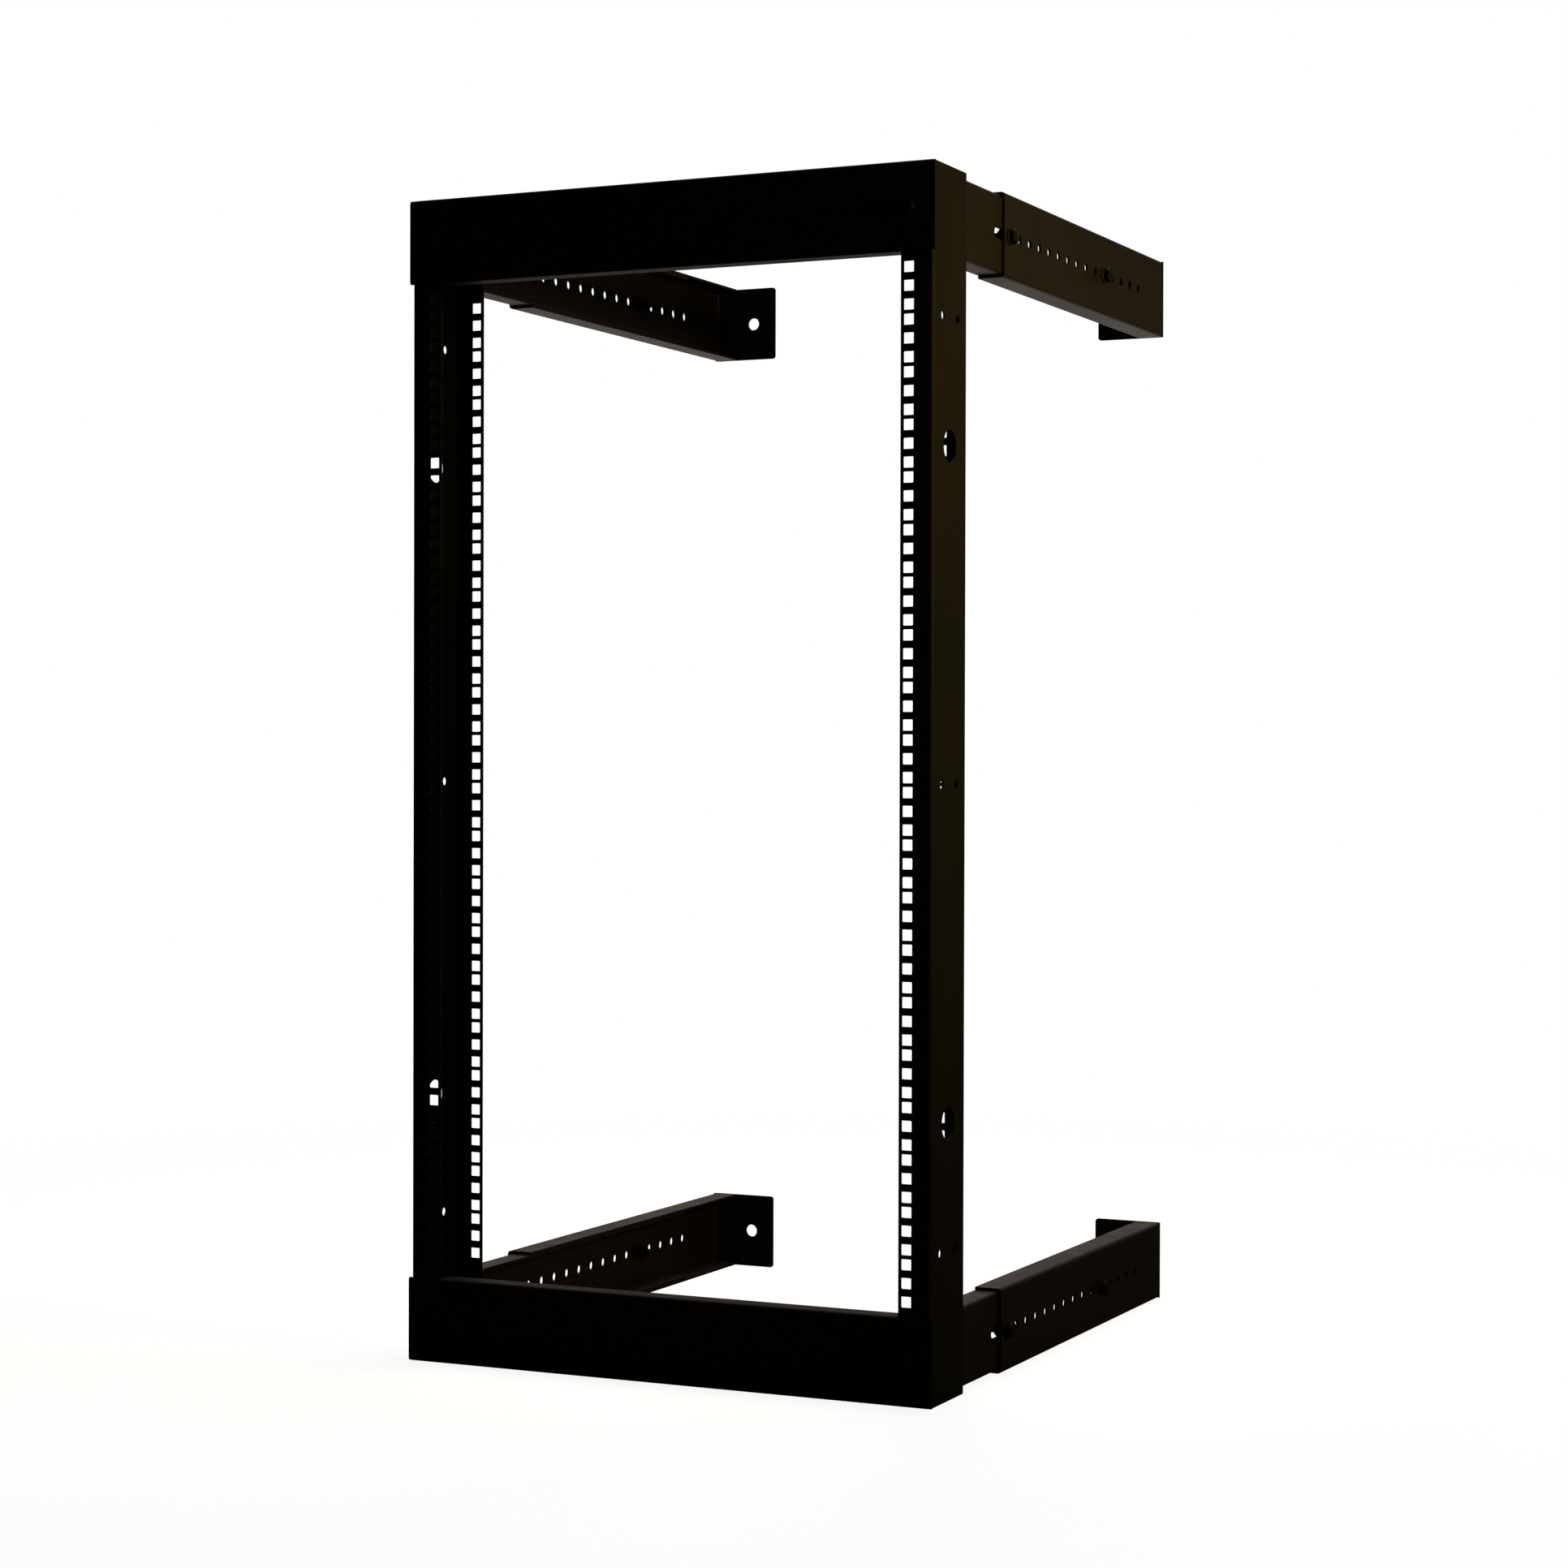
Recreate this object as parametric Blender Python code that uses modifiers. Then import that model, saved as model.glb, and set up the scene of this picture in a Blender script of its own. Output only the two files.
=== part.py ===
"""Wall mount open frame rack: two perforated uprights, two cross members and four sliding wall arms.

Metres, +Z up, +Y towards the wall, +X to the right seen from the front. The model stands on its
lower cross member, its uprights and its lower arms, with the origin under the middle of its box.
"""

import math

import bmesh
import bpy
from mathutils import Matrix, Vector

# Equipment holes, in both flanges of both uprights
UNIT_COUNT = 20
UNIT_HEIGHT = 0.04445
HOLE_STEP = 0.015875
HOLE_SIZE = 0.0095
HOLE_TO_EDGE = 0.007125
EQUIPMENT_OPENING = 0.45085
OPENING_MARGIN = 0.00635

# Uprights, channels that open inwards
UPRIGHT_FACE = 0.030
UPRIGHT_DEPTH = 0.0762
UPRIGHT_SHEET = 0.002
PORT_DIAMETER = 0.0286
PORT_HEIGHT = 0.2889
SIDE_HOLE_DIAMETER = 0.008
SIDE_HOLE_SPREAD = 0.033
SIDE_HOLE_HEIGHT = 0.3985

# Cross members, in front of the uprights, with lips between them
MEMBER_HEIGHT = 0.0762
MEMBER_SHEET = 0.002
MEMBER_LIP = 0.020
MEMBER_OVERHANG = 0.00175
LIP_CLEARANCE = 0.0006

# Arms, a channel that slides over a smaller one
RACK_DEPTH = 0.6223
ARM_SHEET = 0.0025
ARM_FLANGE = 0.0254
ARM_INSET = 0.0022
EXPOSED_LENGTH = 0.0949
CORNER_RELIEF = 0.0015
ARM_HOLE_PITCH = 0.0254
ARM_HOLE_START = 0.0127
ARM_HOLE_END = 0.080
REAR_BOLT_FROM_END = 5
TRAVEL_TO_RACK = 0.0254
TRAVEL_TO_WALL = 0.0508
SLOT_END = 0.0124
WALL_PLATE_WIDTH = 0.06985
WALL_HOLE_DIAMETER = 0.013
WALL_HOLE_TO_EDGE = 0.0254
TAB_BOLT_SPREAD = 0.0381

# Bolts that clamp the sliding arms
ARM_BOLT_DIAMETER = 0.008
ARM_BOLT_ACROSS_FLATS = 0.013
ARM_BOLT_HEAD = 0.0068
ARM_BOLT_FLANGE_DIAMETER = 0.0165
ARM_BOLT_FLANGE = 0.0016
ARM_NUT_HEIGHT = 0.0065

# Bolts and screws that hold the frame together
FRAME_BOLT_DIAMETER = 0.006
FRAME_BOLT_ACROSS_FLATS = 0.010
FRAME_BOLT_HEAD = 0.0054
FRAME_BOLT_FLANGE_DIAMETER = 0.013
FRAME_BOLT_FLANGE = 0.0012
FRAME_NUT_HEIGHT = 0.005
SCREW_HEAD_DIAMETER = 0.0125
SCREW_HEAD_HEIGHT = 0.003
SCREW_SOCKET_WIDTH = 0.004
SCREW_SOCKET_DEPTH = 0.0015

# Fits and bends
SEAT_GAP = 0.0003
BOLT_CLEARANCE = 0.0005
SLOT_CLEARANCE = 0.001
THREAD_PROUD = 0.002
BEND_RADIUS = 0.001
BEND_STEPS = 3
HOLE_SIDES = 16
PORT_SIDES = 32
BOLT_SIDES = 12
DOME_STEPS = 3
CUT_OVERRUN = 0.004
JOINT_OVERLAP = 0.0004
WELD_DISTANCE = 0.000001

# Finishes: base colour, roughness and metallic
FRAME_COAT = ((0.012, 0.010, 0.008), 0.45, 0.0)
ARM_COAT = ((0.016, 0.013, 0.009), 0.42, 0.0)
BLACK_OXIDE = ((0.020, 0.019, 0.018), 0.38, 0.8)
SMOOTH_ANGLE = 35

# Places worked out from the sizes above, seen from the middle of the hole pattern
openingHeight = UNIT_COUNT * UNIT_HEIGHT + 2 * OPENING_MARGIN
rackHeight = openingHeight + 2 * MEMBER_HEIGHT
memberMiddle = (openingHeight + MEMBER_HEIGHT) / 2
flangeEdge = EQUIPMENT_OPENING / 2
uprightOuter = flangeEdge + UPRIGHT_FACE
holeColumn = flangeEdge + HOLE_TO_EDGE
memberBack = -SEAT_GAP
memberFront = memberBack - MEMBER_SHEET
armOuter = uprightOuter - ARM_INSET
armHeight = MEMBER_HEIGHT
armStart = UPRIGHT_DEPTH + EXPOSED_LENGTH
armChannelEnd = RACK_DEPTH - ARM_SHEET - CORNER_RELIEF
innerArmOuter = armOuter - ARM_SHEET - SEAT_GAP
innerArmHeight = armHeight - 2 * (ARM_SHEET + SEAT_GAP)
innerArmFlange = ARM_FLANGE - ARM_SHEET - SEAT_GAP
innerArmStart = UPRIGHT_DEPTH + SEAT_GAP
innerChannelStart = innerArmStart + ARM_SHEET + CORNER_RELIEF
armHoleStart = armStart + ARM_HOLE_START
armHoleRoom = RACK_DEPTH - ARM_HOLE_END - armHoleStart
armHoleCount = int(armHoleRoom / ARM_HOLE_PITCH) + 1
frontBolt = armHoleStart
rearBolt = armHoleStart + ARM_HOLE_PITCH * (armHoleCount - REAR_BOLT_FROM_END)
slotStart = frontBolt - TRAVEL_TO_RACK
slotStop = rearBolt + TRAVEL_TO_WALL
innerArmStop = slotStop + SLOT_END
tabBoltColumn = (flangeEdge + innerArmOuter - ARM_SHEET) / 2
armHoleDiameter = ARM_BOLT_DIAMETER + 2 * BOLT_CLEARANCE
frameHoleDiameter = FRAME_BOLT_DIAMETER + 2 * BOLT_CLEARANCE
slotWidth = ARM_BOLT_DIAMETER + 2 * SLOT_CLEARANCE
frontFace = memberFront - SEAT_GAP - SCREW_HEAD_HEIGHT
originDepth = (frontFace + RACK_DEPTH) / 2

# Directions in which an outline is drawn and then extruded
ALONG_X = Matrix(((0, 0, 1, 0), (1, 0, 0, 0), (0, 1, 0, 0), (0, 0, 0, 1)))
ALONG_Y = Matrix(((0, 1, 0, 0), (0, 0, 1, 0), (1, 0, 0, 0), (0, 0, 0, 1)))
ALONG_Z = Matrix.Identity(4)


def clearScene():
    for leftover in list(bpy.data.objects):
        bpy.data.objects.remove(leftover, do_unlink=True)


def finish(name, colour, roughness, metallic):
    material = bpy.data.materials.new(name)
    material.use_nodes = True
    shader = material.node_tree.nodes["Principled BSDF"]
    shader.inputs["Base Color"].default_value = (*colour, 1)
    shader.inputs["Roughness"].default_value = roughness
    shader.inputs["Metallic"].default_value = metallic
    material.diffuse_color = (*colour, 1)
    return material


def evaluatedMesh(draft):
    """Plain mesh of a draft object, with its modifiers done; the draft is removed."""
    bpy.context.scene.collection.objects.link(draft)
    bpy.context.view_layer.update()
    mesh = bpy.data.meshes.new_from_object(draft.evaluated_get(bpy.context.evaluated_depsgraph_get()))
    bpy.data.objects.remove(draft, do_unlink=True)
    return mesh


def left(direction):
    return Vector((-direction.y, direction.x))


def foldedOutline(path, sheet):
    """Section of a folded sheet: its outer face follows the path, which turns left."""
    corners = [Vector(point) for point in path]
    outer = [corners[0]]
    inner = [corners[0] + left((corners[1] - corners[0]).normalized()) * sheet]
    outside = BEND_RADIUS + sheet
    for before, corner in zip(corners, corners[1:-1]):
        ahead = (corner - before).normalized()
        centre = corner + (left(ahead) - ahead) * outside
        for step in range(BEND_STEPS + 1):
            turn = Matrix.Rotation(math.pi / 2 * step / BEND_STEPS, 2)
            away = turn @ -left(ahead)
            outer.append(centre + away * outside)
            inner.append(centre + away * BEND_RADIUS)
    last = (corners[-1] - corners[-2]).normalized()
    outer.append(corners[-1])
    inner.append(corners[-1] + left(last) * sheet)
    return outer + inner[::-1]


def extruded(outline, start, stop, direction):
    """Closed mesh of a flat outline, extruded from start to stop along one direction."""
    curve = bpy.data.curves.new("outline", "CURVE")
    curve.dimensions = "2D"
    curve.fill_mode = "BOTH"
    curve.extrude = (stop - start) / 2
    spline = curve.splines.new("POLY")
    spline.points.add(len(outline) - 1)
    for point, place in zip(spline.points, outline):
        point.co = (place[0], place[1], 0, 1)
    spline.use_cyclic_u = True
    mesh = evaluatedMesh(bpy.data.objects.new("outline", curve))
    bpy.data.curves.remove(curve)
    mesh.transform(direction @ Matrix.Translation((0, 0, (start + stop) / 2)))
    return welded(mesh)


def welded(mesh):
    shape = bmesh.new()
    shape.from_mesh(mesh)
    bmesh.ops.remove_doubles(shape, verts=shape.verts, dist=WELD_DISTANCE)
    bmesh.ops.recalc_face_normals(shape, faces=shape.faces)
    shape.to_mesh(mesh)
    shape.free()
    return mesh


def turned(profile, sides):
    """Closed mesh of a profile of (radius, height) points, turned about Z."""
    mesh = bpy.data.meshes.new("profile")
    points = [(radius, 0, height) for radius, height in profile]
    mesh.from_pydata(points, [(i, i + 1) for i in range(len(points) - 1)], [])
    draft = bpy.data.objects.new("profile", mesh)
    screw = draft.modifiers.new("turn", "SCREW")
    screw.steps = sides
    screw.render_steps = sides
    screw.use_merge_vertices = True
    screw.merge_threshold = WELD_DISTANCE
    return welded(evaluatedMesh(draft))


def rods(places, radius, length, sides):
    """Mesh of straight rods; each place is a matrix whose origin is a rod's middle and whose Z is its axis."""
    shape = bmesh.new()
    for place in places:
        bmesh.ops.create_cone(shape, cap_ends=True, segments=sides, radius1=radius, radius2=radius,
                              depth=length, matrix=place)
    mesh = bpy.data.meshes.new("rods")
    shape.to_mesh(mesh)
    shape.free()
    return mesh


def blocks(corners):
    """Mesh of boxes, each given by its lowest and highest corner."""
    shape = bmesh.new()
    for low, high in corners:
        middle = (Vector(low) + Vector(high)) / 2
        size = Vector(high) - Vector(low)
        bmesh.ops.create_cube(shape, size=1, matrix=Matrix.LocRotScale(middle, None, size))
    mesh = bpy.data.meshes.new("blocks")
    shape.to_mesh(mesh)
    shape.free()
    return mesh


def combined(mesh, other, operation):
    """Mesh left when the other closed mesh is joined to, or cut from, the first."""
    tool = bpy.data.objects.new("tool", other)
    bpy.context.scene.collection.objects.link(tool)
    draft = bpy.data.objects.new("draft", mesh)
    boolean = draft.modifiers.new(operation.lower(), "BOOLEAN")
    boolean.operation = operation
    boolean.solver = "EXACT"
    boolean.object = tool
    result = evaluatedMesh(draft)
    bpy.data.objects.remove(tool, do_unlink=True)
    return result


def smoothed(mesh):
    mesh.shade_smooth()
    mesh.set_sharp_from_angle(angle=math.radians(SMOOTH_ANGLE))
    return mesh


def across(x, y, z):
    """Place of a rod that lies along X."""
    return Matrix.Translation((x, y, z)) @ Matrix.Rotation(math.pi / 2, 4, "Y")


def deep(x, y, z):
    """Place of a rod that lies along Y."""
    return Matrix.Translation((x, y, z)) @ Matrix.Rotation(-math.pi / 2, 4, "X")


def equipmentHoles():
    """Square holes through both flanges, three to each rack unit."""
    half = HOLE_SIZE / 2
    corners = []
    for unit in range(UNIT_COUNT):
        middle = UNIT_HEIGHT * (unit + 0.5 - UNIT_COUNT / 2)
        for step in (-1, 0, 1):
            height = middle + step * HOLE_STEP
            low = (holeColumn - half, -CUT_OVERRUN, height - half)
            high = (holeColumn + half, UPRIGHT_DEPTH + CUT_OVERRUN, height + half)
            corners.append((low, high))
    return blocks(corners)


def uprightMesh():
    """Right upright, about the middle of its height."""
    path = ((flangeEdge, 0), (uprightOuter, 0), (uprightOuter, UPRIGHT_DEPTH), (flangeEdge, UPRIGHT_DEPTH))
    channel = extruded(foldedOutline(path, UPRIGHT_SHEET), -rackHeight / 2, rackHeight / 2, ALONG_Z)
    channel = combined(channel, equipmentHoles(), "DIFFERENCE")
    reach = 2 * (UPRIGHT_SHEET + CUT_OVERRUN)
    middle = UPRIGHT_DEPTH / 2
    ports = [across(uprightOuter, middle, height) for height in (-PORT_HEIGHT, PORT_HEIGHT)]
    channel = combined(channel, rods(ports, PORT_DIAMETER / 2, reach, PORT_SIDES), "DIFFERENCE")
    sideHoles = [across(uprightOuter, middle + depth, height)
                 for height in (-SIDE_HOLE_HEIGHT, 0, SIDE_HOLE_HEIGHT)
                 for depth in (-SIDE_HOLE_SPREAD / 2, SIDE_HOLE_SPREAD / 2)]
    channel = combined(channel, rods(sideHoles, SIDE_HOLE_DIAMETER / 2, reach, HOLE_SIDES), "DIFFERENCE")
    screwHoles = [deep(holeColumn, 0, height) for height in (-memberMiddle, memberMiddle)]
    screwHoles += [deep(tabBoltColumn, UPRIGHT_DEPTH, height) for height in tabBoltHeights()]
    return combined(channel, rods(screwHoles, frameHoleDiameter / 2, reach, HOLE_SIDES), "DIFFERENCE")


def tabBoltHeights():
    offset = TAB_BOLT_SPREAD / 2
    return [level * memberMiddle + step for level in (-1, 1) for step in (-offset, offset)]


def memberMesh():
    """Top cross member, about its own middle: a channel whose lips stop short of the uprights."""
    top = MEMBER_HEIGHT / 2
    lipBack = memberFront + MEMBER_LIP
    path = ((lipBack, top), (memberFront, top), (memberFront, -top), (lipBack, -top))
    length = uprightOuter + MEMBER_OVERHANG
    channel = extruded(foldedOutline(path, MEMBER_SHEET), -length, length, ALONG_X)
    lipStop = flangeEdge - LIP_CLEARANCE
    beyond = length + CUT_OVERRUN
    behind = lipBack + CUT_OVERRUN
    notches = [((lipStop, memberBack, -MEMBER_HEIGHT), (beyond, behind, MEMBER_HEIGHT)),
               ((-beyond, memberBack, -MEMBER_HEIGHT), (-lipStop, behind, MEMBER_HEIGHT))]
    channel = combined(channel, blocks(notches), "DIFFERENCE")
    screwHoles = [deep(x, memberFront, 0) for x in (-holeColumn, holeColumn)]
    reach = 2 * (MEMBER_SHEET + CUT_OVERRUN)
    return combined(channel, rods(screwHoles, frameHoleDiameter / 2, reach, HOLE_SIDES), "DIFFERENCE")


def armChannel(outerFace, height, flange, start, stop):
    """Channel along Y that opens inwards, about the middle of its height."""
    top = height / 2
    edge = outerFace - flange
    path = ((top, edge), (top, outerFace), (-top, outerFace), (-top, edge))
    return extruded(foldedOutline(path, ARM_SHEET), start, stop, ALONG_Y)


def outerArmMesh():
    """Right outer arm with its wall plate, about the middle of its height."""
    top = armHeight / 2
    channel = armChannel(armOuter, armHeight, ARM_FLANGE, armStart, armChannelEnd)
    joint = armChannelEnd - JOINT_OVERLAP
    path = ((armOuter, joint), (armOuter, RACK_DEPTH), (armOuter - WALL_PLATE_WIDTH, RACK_DEPTH))
    plate = extruded(foldedOutline(path, ARM_SHEET), -top, top, ALONG_Z)
    arm = combined(channel, plate, "UNION")
    reach = 2 * (ARM_SHEET + CUT_OVERRUN)
    holes = [across(armOuter, armHoleStart + ARM_HOLE_PITCH * i, 0) for i in range(armHoleCount)]
    arm = combined(arm, rods(holes, armHoleDiameter / 2, reach, HOLE_SIDES), "DIFFERENCE")
    wallHole = [deep(armOuter - WALL_PLATE_WIDTH + WALL_HOLE_TO_EDGE, RACK_DEPTH, 0)]
    return combined(arm, rods(wallHole, WALL_HOLE_DIAMETER / 2, reach, HOLE_SIDES), "DIFFERENCE")


def slotOutline():
    """Long slot with round ends, in depth and height."""
    radius = slotWidth / 2
    half = HOLE_SIDES // 2
    outline = []
    for centre, start in ((slotStop, -math.pi / 2), (slotStart, math.pi / 2)):
        for step in range(half + 1):
            angle = start + math.pi * step / half
            outline.append((centre + radius * math.cos(angle), radius * math.sin(angle)))
    return outline


def innerArmMesh():
    """Right inner arm with the tab that bolts to the upright, about the middle of its height."""
    top = innerArmHeight / 2
    channel = armChannel(innerArmOuter, innerArmHeight, innerArmFlange, innerChannelStart, innerArmStop)
    joint = innerChannelStart + JOINT_OVERLAP
    path = ((flangeEdge, innerArmStart), (innerArmOuter, innerArmStart), (innerArmOuter, joint))
    tab = extruded(foldedOutline(path, ARM_SHEET), -top, top, ALONG_Z)
    arm = combined(channel, tab, "UNION")
    reach = ARM_SHEET + CUT_OVERRUN
    slot = extruded(slotOutline(), innerArmOuter - reach, innerArmOuter + reach, ALONG_X)
    arm = combined(arm, slot, "DIFFERENCE")
    holes = [deep(tabBoltColumn, innerArmStart, step * TAB_BOLT_SPREAD / 2) for step in (-1, 1)]
    return combined(arm, rods(holes, frameHoleDiameter / 2, 2 * reach, HOLE_SIDES), "DIFFERENCE")


def hexPrism(acrossFlats, low, high):
    place = Matrix.Translation((0, 0, (low + high) / 2))
    return rods([place], acrossFlats / math.sqrt(3), high - low, 6)


def flangeBolt(diameter, acrossFlats, head, flangeDiameter, flange, length):
    """Hexagon bolt with a flange; the seat is at zero height and the shank runs down."""
    profile = ((0, flange), (flangeDiameter / 2, flange), (flangeDiameter / 2, 0),
               (diameter / 2, 0), (diameter / 2, -length), (0, -length))
    body = turned(profile, BOLT_SIDES)
    return combined(body, hexPrism(acrossFlats, flange - JOINT_OVERLAP, head), "UNION")


def domedScrew(length):
    """Screw with a low domed head and a hexagon socket."""
    radius = SCREW_HEAD_DIAMETER / 2
    rise = [math.pi / 2 * step / DOME_STEPS for step in range(DOME_STEPS, -1, -1)]
    profile = [(radius * math.cos(angle), SCREW_HEAD_HEIGHT * math.sin(angle)) for angle in rise]
    shank = FRAME_BOLT_DIAMETER / 2
    profile += [(shank, 0), (shank, -length), (0, -length)]
    profile[0] = (0, SCREW_HEAD_HEIGHT)
    socketFloor = SCREW_HEAD_HEIGHT - SCREW_SOCKET_DEPTH
    socket = hexPrism(SCREW_SOCKET_WIDTH, socketFloor, SCREW_HEAD_HEIGHT + CUT_OVERRUN)
    return combined(turned(profile, BOLT_SIDES), socket, "DIFFERENCE")


def hexNut(diameter, acrossFlats, height):
    """Hexagon nut that rises from zero height."""
    bore = [Matrix.Translation((0, 0, height / 2))]
    hole = rods(bore, diameter / 2 + BOLT_CLEARANCE, height + 2 * CUT_OVERRUN, BOLT_SIDES)
    return combined(hexPrism(acrossFlats, 0, height), hole, "DIFFERENCE")


def place(name, mesh, material, parent, location=(0, 0, 0), rotation=(0, 0, 0)):
    piece = bpy.data.objects.new(name, mesh)
    rack.objects.link(piece)
    piece.parent = parent
    piece.location = location
    piece.rotation_euler = rotation
    piece.data.materials.clear()
    piece.data.materials.append(material)
    return piece


def anchor(name, parent, location=(0, 0, 0), rotation=(0, 0, 0)):
    empty = bpy.data.objects.new(name, None)
    rack.objects.link(empty)
    empty.parent = parent
    empty.location = location
    empty.rotation_euler = rotation
    return empty


clearScene()
rack = bpy.data.collections.new("wall_mount_open_frame_rack")
bpy.context.scene.collection.children.link(rack)

powderCoat = finish("black_powder_coat", *FRAME_COAT)
armCoat = finish("black_arm_coat", *ARM_COAT)
blackSteel = finish("black_oxide_steel", *BLACK_OXIDE)

seats = 3 * SEAT_GAP
armShank = seats + 2 * ARM_SHEET + ARM_NUT_HEIGHT + THREAD_PROUD
tabShank = seats + ARM_SHEET + UPRIGHT_SHEET + FRAME_NUT_HEIGHT + THREAD_PROUD
screwShank = seats + MEMBER_SHEET + UPRIGHT_SHEET + FRAME_NUT_HEIGHT + THREAD_PROUD
meshes = {
    "upright": uprightMesh(),
    "member": memberMesh(),
    "outerArm": outerArmMesh(),
    "innerArm": innerArmMesh(),
    "armBolt": flangeBolt(ARM_BOLT_DIAMETER, ARM_BOLT_ACROSS_FLATS, ARM_BOLT_HEAD,
                          ARM_BOLT_FLANGE_DIAMETER, ARM_BOLT_FLANGE, armShank),
    "tabBolt": flangeBolt(FRAME_BOLT_DIAMETER, FRAME_BOLT_ACROSS_FLATS, FRAME_BOLT_HEAD,
                          FRAME_BOLT_FLANGE_DIAMETER, FRAME_BOLT_FLANGE, tabShank),
    "screw": domedScrew(screwShank),
    "armNut": hexNut(ARM_BOLT_DIAMETER, ARM_BOLT_ACROSS_FLATS, ARM_NUT_HEIGHT),
    "frameNut": hexNut(FRAME_BOLT_DIAMETER, FRAME_BOLT_ACROSS_FLATS, FRAME_NUT_HEIGHT),
}
for mesh in meshes.values():
    smoothed(mesh)

# The left side is the right side turned half round the Y axis, so level 1 is the top on the right only
towardsWall = (-math.pi / 2, 0, 0)
towardsFront = (math.pi / 2, 0, 0)
outwards = (0, math.pi / 2, 0)
inwards = (0, -math.pi / 2, 0)
centre = anchor("rack_centre", None, (0, -originDepth, rackHeight / 2))
for levelName, level in (("top", 1), ("bottom", -1)):
    flip = (0, 0, 0) if level > 0 else (0, math.pi, 0)
    place(f"cross_member_{levelName}", meshes["member"], powderCoat, centre, (0, 0, level * memberMiddle), flip)

for sideName, side in (("right", 1), ("left", -1)):
    half = anchor(f"{sideName}_half", centre, rotation=(0, 0 if side > 0 else math.pi, 0))
    place(f"upright_{sideName}", meshes["upright"], powderCoat, half)
    for levelName, level in (("top", side), ("bottom", -side)):
        tag = f"{levelName}_{sideName}"
        middle = anchor(f"arm_line_{tag}", half, (0, 0, level * memberMiddle))
        place(f"inner_arm_{tag}", meshes["innerArm"], armCoat, middle)
        slider = anchor(f"arm_slide_{tag}", middle)
        place(f"outer_arm_{tag}", meshes["outerArm"], armCoat, slider)
        for boltName, depth in (("front", frontBolt), ("rear", rearBolt)):
            seat = (armOuter + SEAT_GAP, depth, 0)
            place(f"arm_bolt_{tag}_{boltName}", meshes["armBolt"], blackSteel, slider, seat, outwards)
            seat = (innerArmOuter - ARM_SHEET - SEAT_GAP, depth, 0)
            place(f"arm_nut_{tag}_{boltName}", meshes["armNut"], blackSteel, slider, seat, inwards)
        seat = (holeColumn, memberFront - SEAT_GAP, 0)
        place(f"member_screw_{tag}", meshes["screw"], blackSteel, middle, seat, towardsFront)
        seat = (holeColumn, UPRIGHT_SHEET + SEAT_GAP, 0)
        place(f"member_nut_{tag}", meshes["frameNut"], blackSteel, middle, seat, towardsWall)
        for boltName, step in (("upper", side), ("lower", -side)):
            height = step * TAB_BOLT_SPREAD / 2
            seat = (tabBoltColumn, innerArmStart + ARM_SHEET + SEAT_GAP, height)
            place(f"tab_bolt_{tag}_{boltName}", meshes["tabBolt"], blackSteel, middle, seat, towardsWall)
            seat = (tabBoltColumn, UPRIGHT_DEPTH - UPRIGHT_SHEET - SEAT_GAP, height)
            place(f"tab_nut_{tag}_{boltName}", meshes["frameNut"], blackSteel, middle, seat, towardsFront)
bpy.context.view_layer.update()
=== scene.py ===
import math

import bmesh
import bpy
from mathutils import Euler, Matrix, Vector


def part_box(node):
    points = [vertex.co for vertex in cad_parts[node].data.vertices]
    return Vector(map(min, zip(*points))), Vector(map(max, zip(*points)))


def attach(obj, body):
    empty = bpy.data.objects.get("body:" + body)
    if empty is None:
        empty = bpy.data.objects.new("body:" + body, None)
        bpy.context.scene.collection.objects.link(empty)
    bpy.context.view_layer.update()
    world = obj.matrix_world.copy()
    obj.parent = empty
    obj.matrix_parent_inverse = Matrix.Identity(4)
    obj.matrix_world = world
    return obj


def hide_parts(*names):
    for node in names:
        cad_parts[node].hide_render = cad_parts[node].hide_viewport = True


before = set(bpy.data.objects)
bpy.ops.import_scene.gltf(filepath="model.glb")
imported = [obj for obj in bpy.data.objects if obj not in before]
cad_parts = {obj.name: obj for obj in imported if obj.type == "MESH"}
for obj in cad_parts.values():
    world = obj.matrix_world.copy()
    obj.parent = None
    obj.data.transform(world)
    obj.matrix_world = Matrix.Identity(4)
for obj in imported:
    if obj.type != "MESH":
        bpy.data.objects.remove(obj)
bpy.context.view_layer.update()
print("frame loaded:", len(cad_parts), "nodes")

levels = ("top", "bottom")
sides = ("left", "right")
railLow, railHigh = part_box("upright_right")
rackMiddle = (railLow.z + railHigh.z) / 2
railFront = railLow.y

# The left side is the right side turned half round, as in the real rack
halfTurn = (Matrix.Translation((0, 0, rackMiddle)) @ Matrix.Rotation(math.pi, 4, "Y")
            @ Matrix.Translation((0, 0, -rackMiddle)))

cameraView = {
    "pictureWidth": 1932,  # pixels
    "focalLength": 3952.07,  # pixels
    "sensor": 36,
    "turn": 24.98,  # degrees to the right of the front
    "tilt": 0.54,  # degrees downwards
    "roll": 0.14,
    "fromRails": (1.28345, -2.50240, 0.02625),  # metres from the middle of the rails' front
}


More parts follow.
